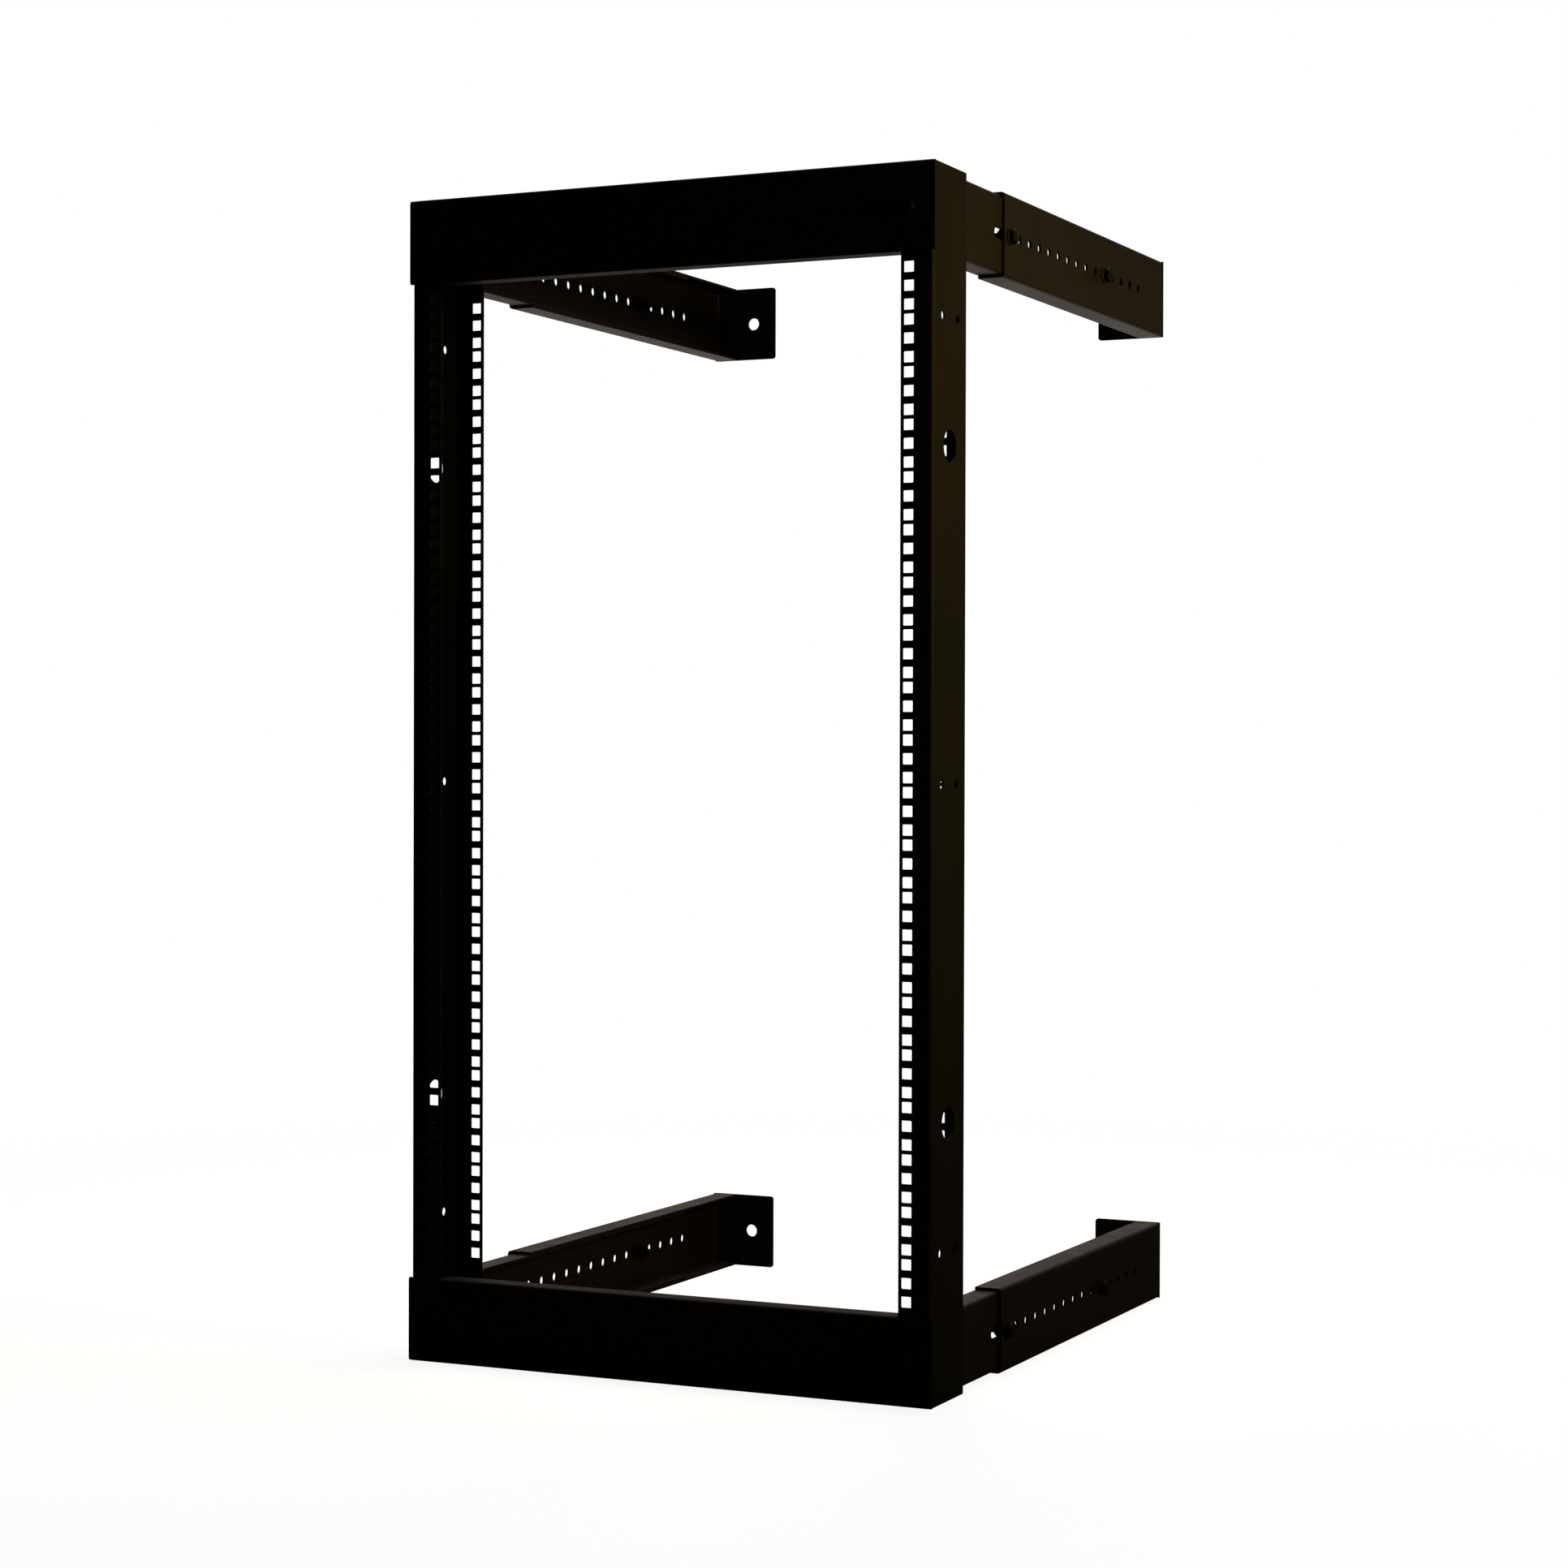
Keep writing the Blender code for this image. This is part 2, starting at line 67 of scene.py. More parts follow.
def makeCamera(view):
    turn, tilt, roll = (math.radians(view[key]) for key in ("turn", "tilt", "roll"))
    ahead = Vector((-math.sin(turn) * math.cos(tilt), math.cos(turn) * math.cos(tilt), -math.sin(tilt)))
    right = Vector((math.cos(turn), math.sin(turn), 0))
    up = right.cross(ahead)
    rolledRight = right * math.cos(roll) + up * math.sin(roll)
    rolledUp = up * math.cos(roll) - right * math.sin(roll)
    data = bpy.data.cameras.new("photoCamera")
    data.sensor_width = view["sensor"]
    data.lens = view["focalLength"] / view["pictureWidth"] * view["sensor"]
    data.clip_start = 0.05
    camera = bpy.data.objects.new("photoCamera", data)
    bpy.context.scene.collection.objects.link(camera)
    axes = Matrix((rolledRight, rolledUp, -ahead)).transposed().to_4x4()
    place = Vector((0, railFront, rackMiddle)) + Vector(view["fromRails"])
    camera.matrix_world = Matrix.Translation(place) @ axes
    bpy.context.scene.camera = camera


makeCamera(cameraView)
print("camera placed")


def newShaderGroup(name, inputs, outputs):
    group = bpy.data.node_groups.new(name, "ShaderNodeTree")
    for label, kind, value in inputs:
        socket = group.interface.new_socket(label, in_out="INPUT", socket_type=kind)
        if value is not None:
            socket.default_value = value
    for label, kind in outputs:
        group.interface.new_socket(label, in_out="OUTPUT", socket_type=kind)
    return group


def nodeMaker(tree):
    # Returns a function that adds a node, with its inputs given as values or as sockets to link
    def add(kind, values=None, **settings):
        node = tree.nodes.new(kind)
        for key, value in settings.items():
            setattr(node, key, value)
        for key, value in (values or {}).items():
            if isinstance(value, bpy.types.NodeSocket):
                tree.links.new(value, node.inputs[key])
            else:
                node.inputs[key].default_value = value
        return node
    return add


floatSocket, colorSocket, vectorSocket = "NodeSocketFloat", "NodeSocketColor", "NodeSocketVector"


def sprayedCoatGroup():
    # Orange peel of a sprayed powder, unevenly thick, with a faint film of dust on what faces upwards
    group = newShaderGroup(
        "sprayedCoat",
        [("Deep Colour", colorSocket, None), ("Thin Colour", colorSocket, None),
         ("Peel Size", floatSocket, 0.0016), ("Peel Depth", floatSocket, 0.00005),
         ("Smooth Roughness", floatSocket, 0.35), ("Dull Roughness", floatSocket, 0.5),
         ("Dust", floatSocket, 0.1)],
        [("Colour", colorSocket), ("Roughness", floatSocket), ("Normal", vectorSocket)])
    add = nodeMaker(group)
    given = add("NodeGroupInput")
    place = add("ShaderNodeTexCoord").outputs["Object"]
    fineScale = add("ShaderNodeMath", {0: 1.0, 1: given.outputs["Peel Size"]}, operation="DIVIDE")
    peel = add("ShaderNodeTexNoise", {"Vector": place, "Scale": fineScale.outputs[0], "Detail": 3.0,
                                      "Roughness": 0.55})
    specks = add("ShaderNodeTexVoronoi", {"Vector": place, "Scale": 420.0}, feature="F1")
    speckHeight = add("ShaderNodeMapRange", {"Value": specks.outputs["Distance"], "From Min": 0.0,
                                             "From Max": 0.35, "To Min": 0.4, "To Max": 0.0})
    height = add("ShaderNodeMath", {0: peel.outputs[0], 1: speckHeight.outputs[0]}, operation="ADD")
    bump = add("ShaderNodeBump", {"Strength": 0.6, "Distance": given.outputs["Peel Depth"],
                                  "Height": height.outputs[0]})

    # Thickness of the coat, which changes its colour and its sheen
    broad = add("ShaderNodeTexNoise", {"Vector": place, "Scale": 9.0, "Detail": 4.0})
    middling = add("ShaderNodeTexNoise", {"Vector": place, "Scale": 420.0, "Detail": 3.0})
    blotch = add("ShaderNodeMapRange", {"Value": broad.outputs[0], "From Min": 0.35, "From Max": 0.7})
    coated = add("ShaderNodeMix", {"Factor": blotch.outputs[0], "A": given.outputs["Deep Colour"],
                                   "B": given.outputs["Thin Colour"]}, data_type="RGBA")
    both = add("ShaderNodeMath", {0: broad.outputs[0], 1: middling.outputs[0]}, operation="MULTIPLY")
    sheen = add("ShaderNodeMapRange", {"Value": both.outputs[0], "From Min": 0.15, "From Max": 0.4,
                                       "To Min": given.outputs["Smooth Roughness"],
                                       "To Max": given.outputs["Dull Roughness"]})

    # Dust, in clouds and flecks
    facing = add("ShaderNodeSeparateXYZ", {0: add("ShaderNodeNewGeometry").outputs["Normal"]})
    upward = add("ShaderNodeMapRange", {"Value": facing.outputs["Z"], "From Min": 0.55, "From Max": 1.0})
    cloud = add("ShaderNodeTexNoise", {"Vector": place, "Scale": 38.0, "Detail": 6.0})
    fleck = add("ShaderNodeTexNoise", {"Vector": place, "Scale": 1300.0, "Detail": 2.0})
    patch = add("ShaderNodeMath", {0: cloud.outputs[0], 1: fleck.outputs[0]}, operation="MULTIPLY")
    spread = add("ShaderNodeMapRange", {"Value": patch.outputs[0], "From Min": 0.18, "From Max": 0.36})
    lying = add("ShaderNodeMath", {0: upward.outputs[0], 1: spread.outputs[0]}, operation="MULTIPLY")
    dust = add("ShaderNodeMath", {0: lying.outputs[0], 1: given.outputs["Dust"]}, operation="MULTIPLY")
    colour = add("ShaderNodeMix", {"Factor": dust.outputs[0], "A": coated.outputs["Result"],
                                   "B": (0.17, 0.15, 0.13, 1)}, data_type="RGBA")
    rough = add("ShaderNodeMath", {0: dust.outputs[0], 1: sheen.outputs[0]}, operation="ADD")
    add("NodeGroupOutput", {"Colour": colour.outputs["Result"], "Roughness": rough.outputs[0],
                            "Normal": bump.outputs[0]})
    return group


sprayedCoat = sprayedCoatGroup()

coats = {
    "railCoat": {"deep": (0.0085, 0.0066, 0.0040), "thin": (0.0125, 0.0095, 0.0055), "smooth": 0.60,
                 "dull": 0.68, "peelSize": 0.0017, "peelDepth": 0.00006, "dust": 0.10, "specular": 0.22,
                 "metallic": 0.0},
    "armCoat": {"deep": (0.0110, 0.0085, 0.0048), "thin": (0.0160, 0.0125, 0.0070), "smooth": 0.46,
                "dull": 0.54, "peelSize": 0.0015, "peelDepth": 0.00006, "dust": 0.14, "specular": 0.38,
                "metallic": 0.0},
    # Coat of the rounded cut edges: thinner there, and painted paler and glossier as a highlight line along
    # every edge
    "coatEdge": {"deep": (0.0190, 0.0150, 0.0095), "thin": (0.0330, 0.0270, 0.0180), "smooth": 0.28,
                 "dull": 0.42, "peelSize": 0.0012, "peelDepth": 0.00003, "dust": 0.0, "specular": 0.40,
                 "metallic": 0.0},
    "blackOxide": {"deep": (0.0080, 0.0072, 0.0064), "thin": (0.0150, 0.0132, 0.0114), "smooth": 0.50,
                   "dull": 0.66, "peelSize": 0.0006, "peelDepth": 0.00002, "dust": 0.06,
                   "specular": 0.12, "metallic": 0.20},
    # Edge colour of the fasteners: slight wear, painted paler and more metallic as a highlight on the rims
    "oxideEdge": {"deep": (0.0140, 0.0127, 0.0115), "thin": (0.0250, 0.0229, 0.0208), "smooth": 0.42,
                  "dull": 0.56, "peelSize": 0.0006, "peelDepth": 0.00001, "dust": 0.0,
                  "specular": 0.20, "metallic": 0.40},
}


def makeCoat(name, coat):
    material = bpy.data.materials.new(name)
    material.use_nodes = True
    add = nodeMaker(material.node_tree)
    shader = material.node_tree.nodes["Principled BSDF"]
    spray = add("ShaderNodeGroup", {
        "Deep Colour": (*coat["deep"], 1),
        "Thin Colour": (*coat["thin"], 1),
        "Peel Size": coat["peelSize"],
        "Peel Depth": coat["peelDepth"],
        "Smooth Roughness": coat["smooth"],
        "Dull Roughness": coat["dull"],
        "Dust": coat["dust"],
    }, node_tree=sprayedCoat)
    link = material.node_tree.links.new
    link(spray.outputs["Colour"], shader.inputs["Base Color"])
    link(spray.outputs["Roughness"], shader.inputs["Roughness"])
    link(spray.outputs["Normal"], shader.inputs["Normal"])
    shader.inputs["Metallic"].default_value = coat["metallic"]
    shader.inputs["Specular IOR Level"].default_value = coat["specular"]
    material.diffuse_color = (*coat["thin"], 1)
    return material


materials = {name: makeCoat(name, coat) for name, coat in coats.items()}
print("materials made:", ", ".join(materials))


def linked(name, mesh):
    piece = bpy.data.objects.new(name, mesh)
    bpy.context.scene.collection.objects.link(piece)
    return piece


def evaluatedMesh(draft):
    bpy.context.view_layer.update()
    mesh = bpy.data.meshes.new_from_object(draft.evaluated_get(bpy.context.evaluated_depsgraph_get()))
    bpy.data.objects.remove(draft, do_unlink=True)
    return mesh


def foldedSection(path, sheet, bend, steps):
    # The outer face follows the path, which turns left at each fold
    corners = [Vector(point) for point in path]
    outside = bend + sheet

    def leftOf(direction):
        return Vector((-direction.y, direction.x))

    first = (corners[1] - corners[0]).normalized()
    last = (corners[-1] - corners[-2]).normalized()
    outer = [corners[0]]
    inner = [corners[0] + leftOf(first) * sheet]
    for before, corner in zip(corners, corners[1:-1]):
        ahead = (corner - before).normalized()
        centre = corner + (leftOf(ahead) - ahead) * outside
        for step in range(steps + 1):
            away = Matrix.Rotation(math.pi / 2 * step / steps, 2) @ -leftOf(ahead)
            outer.append(centre + away * outside)
            inner.append(centre + away * bend)
    outer.append(corners[-1])
    inner.append(corners[-1] + leftOf(last) * sheet)
    return outer + inner[::-1]


alongX = Matrix(((0, 0, 1, 0), (1, 0, 0, 0), (0, 1, 0, 0), (0, 0, 0, 1)))
alongY = Matrix(((0, 1, 0, 0), (0, 0, 1, 0), (1, 0, 0, 0), (0, 0, 0, 1)))
alongZ = Matrix.Identity(4)


def extrudedMesh(outline, start, stop, direction):
    shape = bmesh.new()
    ring = [shape.verts.new(direction @ Vector((u, v, start))) for u, v in outline]
    cap = shape.faces.new(ring)
    grown = bmesh.ops.extrude_face_region(shape, geom=[cap], use_keep_orig=True)
    moved = [item for item in grown["geom"] if isinstance(item, bmesh.types.BMVert)]
    shift = direction @ Vector((0, 0, stop)) - direction @ Vector((0, 0, start))
    bmesh.ops.translate(shape, verts=moved, vec=shift)
    bmesh.ops.recalc_face_normals(shape, faces=shape.faces)
    mesh = bpy.data.meshes.new("extruded")
    shape.to_mesh(mesh)
    shape.free()
    return mesh


def rodsMesh(places, radius, length, sides=48):
    shape = bmesh.new()
    for place in places:
        bmesh.ops.create_cone(shape, cap_ends=True, segments=sides, radius1=radius, radius2=radius,
                              depth=length, matrix=place)
    mesh = bpy.data.meshes.new("rods")
    shape.to_mesh(mesh)
    shape.free()
    return mesh


def across(x, y, z):
    return Matrix.Translation((x, y, z)) @ Matrix.Rotation(math.pi / 2, 4, "Y")


def deep(x, y, z):
    return Matrix.Translation((x, y, z)) @ Matrix.Rotation(-math.pi / 2, 4, "X")


def combinedMesh(mesh, other, operation="DIFFERENCE"):
    tool = linked("tool", other)
    draft = linked("draft", mesh)
    boolean = draft.modifiers.new("boolean", "BOOLEAN")
    boolean.operation = operation
    boolean.solver = "EXACT"
    boolean.object = tool
    result = evaluatedMesh(draft)
    bpy.data.objects.remove(tool, do_unlink=True)
    return result


def newGeometryTree(name, inputs):
    # A tree with a geometry input and output, named inputs and a maker for its nodes
    tree = bpy.data.node_groups.new(name, "GeometryNodeTree")
    tree.interface.new_socket("Geometry", in_out="OUTPUT", socket_type="NodeSocketGeometry")
    tree.interface.new_socket("Geometry", in_out="INPUT", socket_type="NodeSocketGeometry")
    for label, kind in inputs:
        tree.interface.new_socket(label, in_out="INPUT", socket_type=kind)
    add = nodeMaker(tree)
    given = add("NodeGroupInput").outputs

    def calculate(operation, first, second=0.0):
        return add("ShaderNodeMath", {0: first, 1: second}, operation=operation).outputs[0]

    return tree, add, given, calculate


def runTree(name, mesh, tree, values):
    # Runs a tree on a mesh with its inputs set by identifier, and gives back a plain mesh
    draft = linked(name, mesh)
    modifier = draft.modifiers.new(tree.name, "NODES")
    modifier.node_group = tree
    for item in tree.interface.items_tree:
        if item.in_out == "INPUT" and item.name in values:
            modifier[item.identifier] = values[item.name]
    return evaluatedMesh(draft)


intSocket, materialSocket = "NodeSocketInt", "NodeSocketMaterial"


def rackHoleTree():
    # Punches square holes in groups of three to a rack unit, through whatever lies on the column
    tree, add, given, calculate = newGeometryTree(
        "rackHoles",
        [("Units", intSocket), ("Unit Height", floatSocket), ("Hole Step", floatSocket),
         ("Hole Size", floatSocket), ("Corner Radius", floatSocket), ("Column", vectorSocket),
         ("Reach", floatSocket), ("Material", materialSocket)])
    count = calculate("MULTIPLY", given["Units"], 3.0)
    line = add("GeometryNodeMeshLine", {"Count": count})
    index = add("GeometryNodeInputIndex").outputs[0]
    unit = calculate("FLOOR", calculate("DIVIDE", calculate("ADD", index, 0.5), 3.0))
    step = calculate("SUBTRACT", calculate("SUBTRACT", index, calculate("MULTIPLY", unit, 3.0)), 1.0)
    fromMiddle = calculate("SUBTRACT", calculate("ADD", unit, 0.5), calculate("DIVIDE", given["Units"], 2.0))
    height = calculate("ADD", calculate("MULTIPLY", fromMiddle, given["Unit Height"]),
                       calculate("MULTIPLY", step, given["Hole Step"]))
    rise = add("ShaderNodeCombineXYZ", {"Z": height}).outputs[0]
    place = add("ShaderNodeVectorMath", {0: given["Column"], 1: rise}, operation="ADD").outputs[0]
    points = add("GeometryNodeSetPosition", {"Geometry": line.outputs[0], "Position": place})
    half = calculate("DIVIDE", given["Reach"], 2.0)
    near = add("ShaderNodeCombineXYZ", {"Y": calculate("MULTIPLY", half, -1.0)}).outputs[0]
    far = add("ShaderNodeCombineXYZ", {"Y": half}).outputs[0]
    axis = add("GeometryNodeCurvePrimitiveLine", {"Start": near, "End": far}).outputs[0]
    square = add("GeometryNodeCurvePrimitiveQuadrilateral",
                 {"Width": given["Hole Size"], "Height": given["Hole Size"]}).outputs[0]
    rounded = add("GeometryNodeFilletCurve", {"Curve": square, "Count": 3, "Radius": given["Corner Radius"]},
                  mode="POLY").outputs[0]
    punch = add("GeometryNodeCurveToMesh", {"Curve": axis, "Profile Curve": rounded, "Fill Caps": True})
    placed = add("GeometryNodeInstanceOnPoints", {"Points": points.outputs[0], "Instance": punch.outputs[0]})
    punches = add("GeometryNodeRealizeInstances", {"Geometry": placed.outputs[0]}).outputs[0]
    cut = add("GeometryNodeMeshBoolean", {0: given["Geometry"], 1: punches}, operation="DIFFERENCE",
              solver="EXACT").outputs["Mesh"]
    coated = add("GeometryNodeSetMaterial", {"Geometry": cut, "Material": given["Material"]}).outputs[0]
    add("NodeGroupOutput", {"Geometry": coated})
    return tree


def holeRowTree():
    # Drills a straight row of round holes, from one side to the other along X
    tree, add, given, calculate = newGeometryTree(
        "holeRow",
        [("Count", intSocket), ("Start", vectorSocket), ("Pitch", floatSocket), ("Diameter", floatSocket),
         ("Reach", floatSocket), ("Material", materialSocket)])
    pitch = add("ShaderNodeCombineXYZ", {"Y": given["Pitch"]}).outputs[0]
    line = add("GeometryNodeMeshLine", {"Count": given["Count"], "Start Location": given["Start"],
                                        "Offset": pitch})
    half = calculate("DIVIDE", given["Reach"], 2.0)
    near = add("ShaderNodeCombineXYZ", {"X": calculate("MULTIPLY", half, -1.0)}).outputs[0]
    far = add("ShaderNodeCombineXYZ", {"X": half}).outputs[0]
    axis = add("GeometryNodeCurvePrimitiveLine", {"Start": near, "End": far}).outputs[0]
    circle = add("GeometryNodeCurvePrimitiveCircle",
                 {"Resolution": 40, "Radius": calculate("DIVIDE", given["Diameter"], 2.0)}).outputs[0]
    drill = add("GeometryNodeCurveToMesh", {"Curve": axis, "Profile Curve": circle, "Fill Caps": True})
    placed = add("GeometryNodeInstanceOnPoints", {"Points": line.outputs[0], "Instance": drill.outputs[0]})
    drills = add("GeometryNodeRealizeInstances", {"Geometry": placed.outputs[0]}).outputs[0]
    cut = add("GeometryNodeMeshBoolean", {0: given["Geometry"], 1: drills}, operation="DIFFERENCE",
              solver="EXACT").outputs["Mesh"]
    coated = add("GeometryNodeSetMaterial", {"Geometry": cut, "Material": given["Material"]}).outputs[0]
    add("NodeGroupOutput", {"Geometry": coated})
    return tree


sheetEdge = {"width": 0.00032, "segments": 2, "angle": 38, "smoothAngle": 52, "weld": 0.00001}


def finishedSheet(mesh, coat, edge=sheetEdge):
    # Rounds the cut edges as the coat does, with a thinner coat on them that is painted paler as a highlight
    # line, and evens out the shading
    shape = bmesh.new()
    shape.from_mesh(mesh)
    bmesh.ops.remove_doubles(shape, verts=shape.verts, dist=edge["weld"])
    bmesh.ops.dissolve_limit(shape, angle_limit=math.radians(0.5), verts=shape.verts, edges=shape.edges)
    shape.to_mesh(mesh)
    shape.free()
    mesh.materials.clear()
    mesh.materials.append(coat)
    mesh.materials.append(materials["coatEdge"])
    mesh.shade_smooth()
    draft = linked("draft", mesh)
    bevel = draft.modifiers.new("cutEdges", "BEVEL")
    bevel.width = edge["width"]
    bevel.segments = edge["segments"]
    bevel.limit_method = "ANGLE"
    bevel.angle_limit = math.radians(edge["angle"])
    # The bevel faces take the paler edge coat, a painted highlight line
    bevel.material = 1
    result = evaluatedMesh(draft)
    result.set_sharp_from_angle(angle=math.radians(edge["smoothAngle"]))
    draft = linked("draft", result)
    draft.modifiers.new("evenShading", "WEIGHTED_NORMAL").keep_sharp = True
    return evaluatedMesh(draft)


def addPiece(name, mesh, body, slot, *nodes):
    piece = linked(name, mesh)
    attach(piece, body)
    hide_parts(*nodes)
    return piece


def movedCopy(mesh, matrix):
    copy = mesh.copy()
    copy.transform(matrix)
    return copy


rail = {
    "sheet": 0.002,
    "bend": 0.001,
    "bendSteps": 7,
    "units": 20,
    "unitHeight": 0.04445,
    "holeStep": 0.015875,
    "holeSize": 0.0095,
    "holeCorner": 0.0007,
    "columnFromEdge": 0.007125,
    "portDiameter": 0.0286,
    "portHeight": 0.2889,
    "sideHoleDiameter": 0.008,
    "sideHoleSpread": 0.033,
    "sideHoleHeights": (-0.3985, 0.0, 0.3985),
    "screwHoleDiameter": 0.007,
    "overrun": 0.006,
}


def railMesh(rail):
    # Right upright, in its place
    edge, outer = railLow.x, railHigh.x
    front, back = railLow.y, railHigh.y
    depth = back - front
    path = ((edge, front), (outer, front), (outer, back), (edge, back))
    section = foldedSection(path, rail["sheet"], rail["bend"], rail["bendSteps"])
    mesh = extrudedMesh(section, railLow.z, railHigh.z, alongZ)
    reach = 2 * (rail["sheet"] + rail["overrun"])
    middle = (front + back) / 2
    ports = [across(outer, middle, rackMiddle + level * rail["portHeight"]) for level in (-1, 1)]
    mesh = combinedMesh(mesh, rodsMesh(ports, rail["portDiameter"] / 2, reach, 64))
    small = [across(outer, middle + step * rail["sideHoleSpread"] / 2, rackMiddle + height)
             for height in rail["sideHoleHeights"] for step in (-1, 1)]
    mesh = combinedMesh(mesh, rodsMesh(small, rail["sideHoleDiameter"] / 2, reach, 32))
    screws = []
    for level in levels:
        corner = nodeCentre(f"member_screw_{level}_right")
        screws.append(deep(corner.x, front, corner.z))
        for place in ("upper", "lower"):
            tab = nodeCentre(f"tab_bolt_{level}_right_{place}")
            screws.append(deep(tab.x, back, tab.z))
    mesh = combinedMesh(mesh, rodsMesh(screws, rail["screwHoleDiameter"] / 2, reach, 32))
    return runTree("railHoles", mesh, rackHoleTree(), {
        "Units": rail["units"],
        "Unit Height": rail["unitHeight"],
        "Hole Step": rail["holeStep"],
        "Hole Size": rail["holeSize"],
        "Corner Radius": rail["holeCorner"],
        "Column": (edge + rail["columnFromEdge"], middle, rackMiddle),
        "Reach": depth + 2 * rail["overrun"],
        "Material": materials["railCoat"],
    })


def nodeCentre(node):
    low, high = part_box(node)
    return (low + high) / 2


rightRail = finishedSheet(railMesh(rail), materials["railCoat"])
addPiece("rail_left_coated", movedCopy(rightRail, halfTurn), "frame", "frame_coat", "upright_left")
addPiece("rail_right_coated", rightRail, "frame", "frame_coat", "upright_right")
print("rails punched and coated:", len(rightRail.polygons), "faces each")

member = {"sheet": 0.002, "bend": 0.001, "bendSteps": 7, "lipClearance": 0.0006, "screwHoleDiameter": 0.007,
          "overrun": 0.005}


def memberMesh(member):
    # Top cross member, in its place
    low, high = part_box("cross_member_top")
    path = ((high.y, high.z), (low.y, high.z), (low.y, low.z), (high.y, low.z))
    section = foldedSection(path, member["sheet"], member["bend"], member["bendSteps"])
    mesh = extrudedMesh(section, low.x, high.x, alongX)
    back = low.y + member["sheet"]
    lipStop = railLow.x - member["lipClearance"]
    beyond = high.x + member["overrun"]
    for start, stop in ((lipStop, beyond), (-beyond, -lipStop)):
        outline = ((start, back), (stop, back), (stop, high.y + member["overrun"]),
                   (start, high.y + member["overrun"]))
        notch = extrudedMesh(outline, low.z - member["overrun"], high.z + member["overrun"], alongZ)
        mesh = combinedMesh(mesh, notch)
    screws = [deep(nodeCentre(f"member_screw_top_{side}").x, low.y, (low.z + high.z) / 2) for side in sides]
    reach = 2 * (member["sheet"] + member["overrun"])
    return combinedMesh(mesh, rodsMesh(screws, member["screwHoleDiameter"] / 2, reach, 32))


topMember = finishedSheet(memberMesh(member), materials["railCoat"])
addPiece("member_top_coated", topMember, "frame", "frame_coat", "cross_member_top")
addPiece("member_bottom_coated", movedCopy(topMember, halfTurn), "frame", "frame_coat", "cross_member_bottom")
print("cross members coated")

arm = {
    "sheet": 0.0025,
    "bend": 0.001,
    "bendSteps": 7,
    "flange": 0.0254,
    "clearance": 0.0003,
    "cornerRelief": 0.0015,
    "jointOverlap": 0.0004,
    "holes": 15,
    "holePitch": 0.0254,
    "holeStart": 0.0127,
    "holeDiameter": 0.009,
    "wallHoleDiameter": 0.013,
    "wallHoleFromEdge": 0.0254,
    "plateCorner": 0.003,
    "cornerSteps": 8,
    "slotWidth": 0.010,
    "slotEnd": 0.0124,
    "travelToRack": 0.0254,
    "tabHoleDiameter": 0.007,
    "overrun": 0.005,
}


def channelMesh(outer, flange, low, high, start, stop):
    # Channel along Y that opens towards the middle of the rack
    path = ((high, outer - flange), (high, outer), (low, outer), (low, outer - flange))
    section = foldedSection(path, arm["sheet"], arm["bend"], arm["bendSteps"])
    return extrudedMesh(section, start, stop, alongY)


def cornerCutter(edge, inwards, side, back, arm):
    # What a rounded corner leaves out of the wall plate
    radius, over = arm["plateCorner"], arm["overrun"]
    centre = (edge + inwards * radius, side + radius)
    outline = [(edge - inwards * over, side + radius), (edge - inwards * over, side - over),
               (centre[0], side - over)]
    for step in range(arm["cornerSteps"] + 1):
        angle = math.pi / 2 * step / arm["cornerSteps"]
        outline.append((centre[0] - inwards * radius * math.sin(angle), centre[1] - radius * math.cos(angle)))
    return extrudedMesh(outline, back - over, back + over, alongY)


def outerArmMesh(arm):
    # Top right outer arm, in its place
    low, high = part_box("outer_arm_top_right")
    channelEnd = high.y - arm["sheet"] - arm["cornerRelief"]
    channel = channelMesh(high.x, arm["flange"], low.z, high.z, low.y, channelEnd)
    path = ((high.x, channelEnd - arm["jointOverlap"]), (high.x, high.y), (low.x, high.y))
    section = foldedSection(path, arm["sheet"], arm["bend"], arm["bendSteps"])
    plate = extrudedMesh(section, low.z, high.z, alongZ)
    mesh = combinedMesh(channel, plate, "UNION")
    for edge, inwards in ((low.z, 1), (high.z, -1)):
        mesh = combinedMesh(mesh, cornerCutter(edge, inwards, low.x, high.y, arm))
    middle = (low.z + high.z) / 2
    reach = 2 * (arm["sheet"] + arm["overrun"])
    wallHole = [deep(low.x + arm["wallHoleFromEdge"], high.y, middle)]
    mesh = combinedMesh(mesh, rodsMesh(wallHole, arm["wallHoleDiameter"] / 2, reach, 48))
    return runTree("armHoles", mesh, holeRowTree(), {
        "Count": arm["holes"],
        "Start": (high.x, low.y + arm["holeStart"], middle),
        "Pitch": arm["holePitch"],
        "Diameter": arm["holeDiameter"],
        "Reach": reach,
        "Material": materials["armCoat"],
    })


